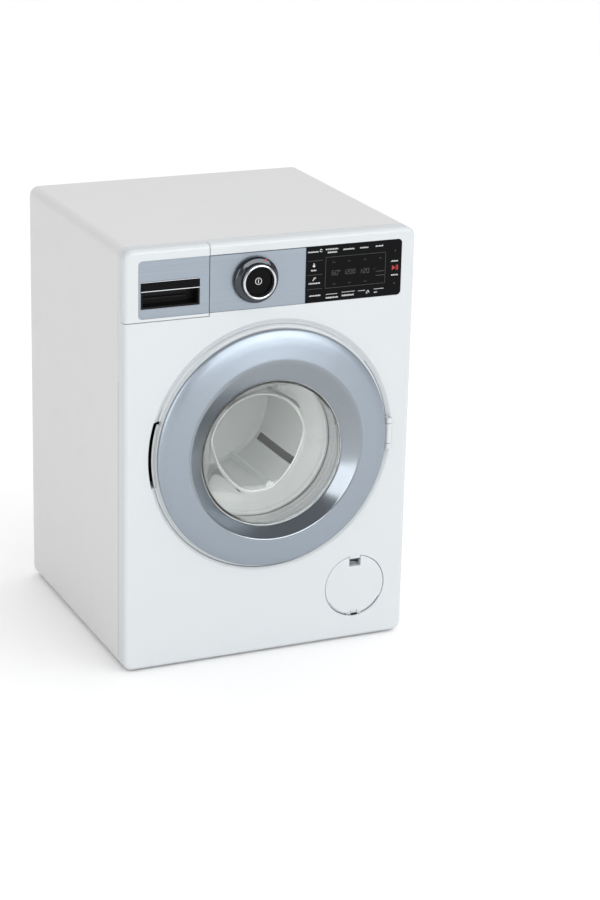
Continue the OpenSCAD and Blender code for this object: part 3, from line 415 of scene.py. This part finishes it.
def arc(cx, cz, r, w, a0, a1, n=20):
    """Outline of a curved stroke."""
    o = [(cx + (r + w / 2) * math.cos(math.radians(a0 + (a1 - a0) * k / n)), cz + (r + w / 2) * math.sin(math.radians(a0 + (a1 - a0) * k / n))) for k in range(n + 1)]
    i = [(cx + (r - w / 2) * math.cos(math.radians(a0 + (a1 - a0) * k / n)), cz + (r - w / 2) * math.sin(math.radians(a0 + (a1 - a0) * k / n))) for k in range(n + 1)]
    return o + i[::-1]


def stroke(x0, z0, x1, z1, w):
    """Outline of a straight stroke."""
    d = Vector((x1 - x0, z1 - z0)).normalized()
    n = Vector((-d.y, d.x)) * w / 2
    return [(x0 + n.x, z0 + n.y), (x0 - n.x, z0 - n.y), (x1 - n.x, z1 - n.y), (x1 + n.x, z1 + n.y)]


SEG = {"0": "abcdef", "1": "bc", "2": "abged", "3": "abgcd", "4": "fgbc", "5": "afgcd", "6": "afgedc", "7": "abc", "8": "abcdefg", "9": "abcdfg"}


def digit(ch, x, z, h, w, t):
    """Seven-segment numeral whose lower left corner is at x, z."""
    m = h / 2
    box = {"a": (x + t * 0.4, z + h - t, x + w - t * 0.4, z + h), "d": (x + t * 0.4, z, x + w - t * 0.4, z + t), "g": (x + t * 0.4, z + m - t / 2, x + w - t * 0.4, z + m + t / 2),
           "f": (x, z + m + t * 0.2, x + t, z + h - t * 0.4), "b": (x + w - t, z + m + t * 0.2, x + w, z + h - t * 0.4),
           "e": (x, z + t * 0.4, x + t, z + m - t * 0.2), "c": (x + w - t, z + t * 0.4, x + w, z + m - t * 0.2)}
    return [bar(b[0], b[2], b[1], b[3], 0.06) for b in (box[s] for s in SEG[ch])]


def label(x0, x1, z, h=0.85, seed=0):
    """A row of tiny strokes, too small to read, where the panel has a label."""
    widths = (0.42, 0.3, 0.46, 0.38, 0.24, 0.44, 0.34, 0.5, 0.28, 0.4)
    out, x, k = [], x0, seed
    while x < x1 - 0.2:
        w = min(widths[k % 10], x1 - x)
        tall = h if k % 3 else h * 0.72
        out.append(bar(x, x + w, z - h / 2, z - h / 2 + tall, 0.1))
        x += w + 0.2
        k += 1
    return out


def marks(name, outlines, depth, mat, body, thick=0.03, slot=None):
    """Printed marks: thin prisms standing on a surface at that depth."""
    verts, faces = [], []
    for p in outlines:
        prism(verts, faces, p, depth - thick, depth + 0.02)
    return make(name, verts, faces, [mat], sharp=30.0, body=body, slot=slot)


# ---------------------------------------------------------------- the door's silver ring
band = smooth_path([(72.8, -3.6), (70, -4.75), (66, -5.8), (62, -6.65), (58.6, -7.35), (57.3, -7.62)], 6)
edge = fillet([(73.2, -1.32, 0), (73.2, -1.85, 0.1), (73.9, -2.0, 0.12), (73.9, -2.85, 0.5), (72.8, -3.6, 0)], 5)
rings = []
for R, y in edge[:-1] + band:
    rings.append((R, y, DOOR[0], DOOR[1], 0))


def cone_at(y):
    k = (y + 8.8) / 8.9
    return 56.8 - 11.8 * k, DOOR[0], 132.68 - 4.38 * k


# rounded crease
p0 = (57.3, -7.62, DOOR[1])
pc = (cone_at(-7.95)[0] + 0.2, -7.93, cone_at(-7.95)[2])
p1 = (cone_at(-7.3)[0], -7.3, cone_at(-7.3)[2])
for k in range(1, 11):
    s = k / 10
    w = ((1 - s) ** 2, 2 * s * (1 - s), s * s)
    R, y, cz = (sum(w[i] * q[j] for i, q in enumerate((p0, pc, p1))) for j in range(3))
    rings.append((R, y, DOOR[0], cz, 0 if k < 3 else 1))
for k in range(1, 13):
    y = -7.3 + k * (6.88) / 12
    R, cx, cz = cone_at(y)
    rings.append((R, y, cx, cz, 1))
# lip that holds the window, and the back
R, cx, cz = cone_at(-0.32)
rings.append((R + 0.05, -0.32, cx, cz, 1))
rings.append((48.8, -0.32, WIN[0], WIN[1], 1))
rings.append((49.0, -1.34, WIN[0], WIN[1], 1))
ring = lathe("silver_ring", rings, ["silver_paint", "silver_cone"], segs=360, sharp=24.0, body="door", replaces=("door_ring",), slot="silver_paint")

# ---------------------------------------------------------------- the clear bowl
b = 23.0
front = fillet([(0, b - 1.1, 0), (26, b - 1.75, 20), (30.75, b - 2.35, 1.1), (43.3, 1.2, 2.0), (44.3, -0.28, 0.2), (48.78, -0.28, 0)], 8)
rear = fillet([(48.78, 1.06, 0), (45.1, 1.06, 0.3), (44.5, 2.6, 2.5), (32.1, b - 1.8, 4.2), (26.6, b - 0.35, 20), (0, b + 0.38, 0)], 8)
bowl = []
for k, (R, y) in enumerate(front + rear):
    # the wall is slightly milky; its inner edge is whiter and partly opaque, a painted highlight standing in for a
    # bright line along the edge
    kind = 0
    if k < len(front) - 1:
        mR, my = (R + front[k + 1][0]) / 2, (y + front[k + 1][1]) / 2
        kind = 0 if mR < 29.9 or my < 1.5 else (1 if my > b - 3.6 else 2)
    bowl.append((max(R, 0.0), y, WIN[0], WIN[1], kind))


def bowl_shape(R, a):
    """The bowl's end is flattened low on the left and on the right."""
    reach = 31.6
    for f in (213, 331):
        c = 27 * math.cos(a - math.radians(f))
        side = -c + math.sqrt(c * c + 54.6**2 - 27**2)
        d = reach - side
        reach = (reach + side - math.sqrt(d * d + 2.2)) / 2
    flat = min(1.0, reach / 30.75)
    return R * (1.0 - (1.0 - flat) * min(1.0, max(0.0, (43.3 - R) / 12.55)))


lathe("clear_bowl", bowl, ["clear_plastic", "clear_edge_painted_highlight", "clear_wall"], shape=bowl_shape, segs=256, closed=False, sharp=50.0, body="door", replaces=("door_glass",), slot="clear_plastic")

# ---------------------------------------------------------------- rim of the door and small mouldings
def arc_sweep(name, section, a0, a1, steps, mat, **kw):
    """A closed section of (radius, depth) points drawn along an arc round the door's centre."""
    verts, faces = [], []
    n = len(section(0.0))
    for k in range(steps + 1):
        a = a0 + (a1 - a0) * k / steps
        c, s = math.cos(math.radians(a)), math.sin(math.radians(a))
        for R, y in section(k / steps):
            verts.append((DOOR[0] + R * c, FACE + y, DOOR[1] + R * s))
    for k in range(steps):
        for i in range(n):
            j = (i + 1) % n
            faces.append((k * n + i, k * n + j, (k + 1) * n + j, (k + 1) * n + i))
    faces.append(tuple(reversed(range(n))))
    faces.append(tuple(range(steps * n, steps * n + n)))
    return make(name, verts, faces, [mat], **kw)


def rim_section(t):
    """The frame's edge is fuller at the top and runs out to both sides."""
    low = [(74.15, -1.2), (74.4, -0.9), (74.5, 0.2), (74.62, 0.9), (74.95, 1.4), (75.6, 1.8), (75.9, 2.0), (74.0, 2.1), (73.8, -1.1)]
    full = [(74.15, -1.33), (74.85, -1.1), (75.4, -0.6), (75.75, 0.1), (75.92, 0.9), (75.98, 1.55), (75.98, 2.0), (74.0, 2.1), (73.8, -1.1)]
    w = min(1.0, t / 0.28, (1.0 - t) / 0.28)
    w = w * w * (3 - 2 * w)
    return [(p[0] + (q[0] - p[0]) * w, p[1] + (q[1] - p[1]) * w) for p, q in zip(low, full)]


arc_sweep("frame_lip", rim_section, 40, 140, 120, "white_panel", sharp=60.0, body="door", slot="white_panel")
arc_sweep("recess_step", lambda t: [(76.04, 1.72), (76.5, 1.5), (76.5, 2.4), (76.04, 2.4)], 38, 156, 140, "white_panel", sharp=30.0,
          body="cabinet_body", slot="white_panel")

# painted shade: near-black strips set into the joint between the front panel and the shell, on both sides, stand in for
# the shadow in the gap
for side, name in ((-1, "joint_painted_shade_left"), (1, "joint_painted_shade_right")):
    verts = [(side * x, FACE + y, z) for z, d0, d1 in ((7.0, 10.003, 10.297), (180.0, 10.02, 10.28)) for x, y in
             ((91.995, d0), (91.995, d1), (91.3, d1), (91.3, d0))]
    make(name, verts, [(0, 1, 2, 3), (7, 6, 5, 4), (0, 4, 5, 1), (1, 5, 6, 2), (2, 6, 7, 3), (3, 7, 4, 0)], ["seam_shade"],
         sharp=30.0, body="cabinet_body", slot="black_plastic")

# lip over the finger notch of the service flap; under it, a grey plate and a black plate painted as the shade inside
# the notch
verts, faces = [], []
prism(verts, faces, [(55.5, 53.1), (62.5, 53.1), (62.5, 55.8), (55.5, 55.8)], 0.12, 1.5)
make("notch_lip", verts, faces, ["white_panel"], sharp=30.0, body="cabinet_body", slot="white_panel")
# grey plate on the notch's floor: painted shade
verts, faces = [], []
prism(verts, faces, [(55.4, 48.3), (62.6, 48.3), (62.6, 49.5), (57.6, 50.6), (55.4, 51.1)], 2.8, 2.88)
make("notch_floor_painted_shade", verts, faces, ["notch_painted_shade_grey"], sharp=30.0, body="flap", slot="white_panel")
# black plate over the rest of the notch: painted shadow in the pocket
verts, faces = [], []
prism(verts, faces, [(62.6, 49.5), (62.6, 51.2), (55.4, 51.2), (55.4, 51.1), (57.6, 50.6)], 2.78, 2.88)
make("notch_shade", verts, faces, ["seam_shade"], sharp=30.0, body="flap", slot="black_plastic")
# cover over the lug's relief, and a black plate at the flap's lower edge, painted shadow standing in for a dark slot
verts, faces = [], []
prism(verts, faces, [(57.0, 18.12), (61.2, 18.12), (61.2, 19.55), (57.0, 19.55)], 0.06, 0.9)
make("flap_hood", verts, faces, ["white_panel"], sharp=30.0, body="flap", slot="white_panel")
verts, faces = [], []
prism(verts, faces, [(57.3, 15.75), (60.9, 15.75), (60.9, 17.35), (57.3, 17.35)], -0.49, -0.1)
make("flap_slot_painted_shade", verts, faces, ["seam_shade"], sharp=30.0, body="cabinet_body", slot="black_plastic")

# ---------------------------------------------------------------- prints on the display
D = 0.1
white, dim, faint = [], [], []
# labels along the top
white += label(22.0, 29.0, 250.0, seed=1) + [arc(30.4, 250.5, 0.75, 0.35, 20, 330)]
white += label(33.4, 41.3, 250.9, seed=2) + label(34.7, 40.7, 249.0, 1.0, seed=5)
white += label(44.6, 51.9, 250.05, seed=3) + label(55.5, 60.9, 250.05, seed=4) + label(65.7, 70.7, 250.25, seed=6)
# keys in the left column
white += [bar(25.2, 26.8, 240.8, 242.2, 0.7), stroke(26, 242.0, 26, 243.1, 0.6)] + label(24.2, 27.9, 238.9, seed=7)
white += [stroke(25.4, 232.6, 26.8, 234.3, 0.45), bar(25.9, 27.5, 233.9, 234.5)] + label(22.8, 30.1, 231.0, seed=8)
white += label(23.4, 30.8, 223.5, seed=9)
faint += [bar(21.9, 31.6, 244.5, 244.75, 0.1), bar(21.9, 31.6, 236.0, 236.25, 0.1), bar(21.9, 31.6, 227.4, 227.65, 0.1)]
# rim of the inner window
faint += [bar(33.4, 72.6, 245.95, 246.2, 0.1), bar(33.4, 72.6, 227.2, 227.45, 0.1), bar(33.4, 33.65, 227.5, 245.9, 0.1), bar(72.35, 72.6, 227.5, 245.9, 0.1)]
# readings
for ch, x in zip("60", (37.6, 39.9)):
    dim += digit(ch, x, 234.9, 2.9, 1.75, 0.3)
dim += [arc(42.5, 237.3, 0.42, 0.28, 0, 350)]
for ch, x in zip("1200", (45.0, 47.2, 49.2, 51.2)):
    dim += digit(ch, x, 234.8, 2.9, 1.6, 0.3)
for ch, x in zip("120", (55.2, 58.0, 60.2)):
    dim += digit(ch, x, 234.4, 2.9, 1.7, 0.3)
dim += [bar(57.3, 57.7, 235.2, 235.6, 0.15), bar(57.3, 57.7, 236.5, 236.9, 0.15)]
dim += [bar(66.3, 72.0, 234.7, 235.0, 0.1), bar(66.3, 72.0, 232.2, 232.5, 0.1), stroke(64.9, 236.3, 65.6, 237.0, 0.25)]
for x in (38.6, 48.7, 59.0, 69.0):
    faint += [stroke(x - 0.9, 242.4, x, 243.2, 0.28), stroke(x, 243.2, x + 0.9, 242.4, 0.28)]
for x in (39.2, 49.2, 59.5):
    faint += [stroke(x - 0.9, 229.9, x, 229.1, 0.28), stroke(x, 229.1, x + 0.9, 229.9, 0.28)]
# labels along the bottom
white += [bar(34.1, 41.5, 223.45, 223.7, 0.1), bar(44.4, 53.0, 223.9, 224.15, 0.1), bar(55.0, 59.7, 223.75, 224.0, 0.1), bar(65.3, 71.9, 223.95, 224.2, 0.1)]
white += label(34.2, 42.4, 221.5, 1.0, seed=2) + label(44.5, 52.2, 222.0, 1.0, seed=4) + label(65.6, 67.6, 222.1, 0.8, seed=1)
white += [stroke(60.3, 222.0, 61.7, 223.8, 0.35), stroke(61.7, 223.8, 62.4, 222.3, 0.35), stroke(60.6, 222.4, 61.3, 221.8, 0.35)]
# marks over and under the start key
white += label(76.3, 80.7, 240.2, seed=3) + label(76.6, 81.0, 231.7, seed=5)
faint += [arc(78.8, 246.5, 0.35, 0.3, 0, 350), arc(78.8, 226.5, 0.35, 0.3, 0, 350)]
marks("display_labels", white, D, "white_print", "cabinet_body", slot="white_print")
marks("display_readings", dim, D, "dim_print", "cabinet_body", slot="white_print")
marks("display_lines", faint, D, "faint_print", "cabinet_body", slot="white_print")
play = [[(76.9, 234.6), (79.2, 236.15), (76.9, 237.7)], bar(79.45, 80.0, 234.6, 237.7, 0.12), bar(80.35, 80.9, 234.6, 237.7, 0.12)]
marks("start_mark", play, D, "red_print", "cabinet_body", slot="red_print")

# ---------------------------------------------------------------- floor, light and camera
FLOOR = (0.95, 0.95, 0.95)


def floor():
    me = bpy.data.meshes.new("studio_floor")
    s = 9.0
    me.from_pydata([(-s, -s, 0), (s, -s, 0), (s, s + 3, 0), (-s, s + 3, 0)], [], [(0, 1, 2, 3)])
    mat = bpy.data.materials.new("floor_paper")
    t = Tree(mat)
    out = t.add("ShaderNodeOutputMaterial")
    bs = t.add("ShaderNodeBsdfPrincipled")
    at = t.coords()
    base = t.mix(t.span(t.noise(3.0, 3.0, 0.5, at), 0.3, 0.7, 0.0, 1.0), tint(FLOOR, 0.99), tint(FLOOR, 1.01))
    t.link(base, bs.inputs["Base Color"])
    t.link(t.span(t.noise(60.0, 3.0, 0.6, at), 0.3, 0.7, 0.55, 0.7), bs.inputs["Roughness"])
    bump = t.add("ShaderNodeBump")
    bump.inputs["Strength"].default_value = 0.3
    bump.inputs["Distance"].default_value = 0.0001
    t.link(t.noise(900.0, 3.0, 0.6, at), bump.inputs["Height"])
    t.link(bump.outputs["Normal"], bs.inputs["Normal"])
    t.link(bs.outputs[0], out.inputs["Surface"])
    me.materials.append(mat)
    ob = bpy.data.objects.new("studio_floor", me)
    ob.location = (0, 0, -0.0001)
    bpy.context.scene.collection.objects.link(ob)
    return ob


floor()


def at_angle(az, el, dist, target=(0.0, -0.05, 0.14)):
    a, e = math.radians(az), math.radians(el)
    return Vector(target) + Vector((math.sin(a) * math.cos(e), -math.cos(a) * math.cos(e), math.sin(e))) * dist


def softbox(name, az, el, dist, w, h, radiance, color=(1, 1, 1), glossy=True, target=(0.0, -0.05, 0.14)):
    """An area lamp of that radiance that looks at the object."""
    li = bpy.data.lights.new(name, "AREA")
    li.shape = "RECTANGLE"
    li.size, li.size_y = w, h
    li.energy = radiance * w * h * math.pi
    li.color = color
    ob = bpy.data.objects.new(name, li)
    pos = at_angle(az, el, dist, target)
    ob.location = pos
    ob.rotation_euler = (Vector(target) - pos).to_track_quat("-Z", "Y").to_euler()
    bpy.context.scene.collection.objects.link(ob)
    ob.visible_glossy = glossy
    ob.visible_camera = False
    return ob


# two softboxes in front; what the polished parts mirror is set apart from what they light
for kind, glossy in (("fill", False), ("mirror", True)):
    for side, az, el, w, h, fill, mirror in (("right", 21, 22.5, 2.24, 1.2, 1.35, 3.6), ("left", -43, 15, 1.1, 1.42, 1.4, 2.6)):
        far = 1.0 if glossy else 1.12
        lamp = softbox("box_%s_%s" % (side, kind), az, el, 2.4 * far, w * far, h * far, mirror if glossy else fill, glossy=glossy)
        lamp.visible_diffuse = not glossy

world = bpy.data.worlds.new("studio")
bpy.context.scene.world = world
t = Tree(world)
wo = t.add("ShaderNodeOutputWorld")
bg = t.add("ShaderNodeBackground")
tc = t.add("ShaderNodeTexCoord")
sep = t.add("ShaderNodeSeparateXYZ")
t.link(tc.outputs["Generated"], sep.inputs[0])
ramp = t.add("ShaderNodeValToRGB")
ramp.color_ramp.elements[0].position = 0.0
ramp.color_ramp.elements[0].color = (0.60, 0.61, 0.63, 1)
ramp.color_ramp.elements[1].position = 0.75
ramp.color_ramp.elements[1].color = (0.29, 0.295, 0.31, 1)
e = ramp.color_ramp.elements.new(0.35)
e.color = (0.45, 0.46, 0.48, 1)
t.link(sep.outputs[2], ramp.inputs[0])
# a tent round the object: brighter overhead and to the right
tent = t.math("ADD", 0.72, t.math("MULTIPLY", sep.outputs[2], 0.60))
tent = t.math("ADD", tent, t.math("MULTIPLY", sep.outputs[0], 0.35))
bg2 = t.add("ShaderNodeBackground")
bg2.inputs["Color"].default_value = (1, 1, 1, 1)
t.link(tent, bg2.inputs["Strength"])
t.link(ramp.outputs[0], bg.inputs["Color"])
bg.inputs["Strength"].default_value = 1.0
lp = t.add("ShaderNodeLightPath")
mx = t.add("ShaderNodeMixShader")
t.link(lp.outputs["Is Glossy Ray"], mx.inputs[0])
t.link(bg2.outputs[0], mx.inputs[1])
t.link(bg.outputs[0], mx.inputs[2])
t.link(mx.outputs[0], wo.inputs["Surface"])

AZ, EL, ROLL = math.radians(-24.537), math.radians(19.136), math.radians(1.446)
back = Vector((math.sin(AZ) * math.cos(EL), -math.cos(AZ) * math.cos(EL), math.sin(EL)))
right = Vector((0, 0, 1)).cross(back).normalized()
up = back.cross(right)
r2 = math.cos(ROLL) * right + math.sin(ROLL) * up
u2 = -math.sin(ROLL) * right + math.cos(ROLL) * up
cam_data = bpy.data.cameras.new("photo_camera")
cam_data.lens = 99.22
cam_data.sensor_width = 36.0
cam_data.sensor_fit = "AUTO"
cam_data.clip_start = 0.05
cam_data.clip_end = 60.0
cam = bpy.data.objects.new("photo_camera", cam_data)
cam.matrix_world = Matrix(((r2.x, u2.x, back.x, -0.5628), (r2.y, u2.y, back.y, -1.3585), (r2.z, u2.z, back.z, 0.6153), (0, 0, 0, 1)))
bpy.context.scene.collection.objects.link(cam)
bpy.context.scene.camera = cam
vs = bpy.context.scene.view_settings
vs.view_transform = "Standard"
vs.look = "None"
vs.exposure = 0.0
vs.gamma = 1.0
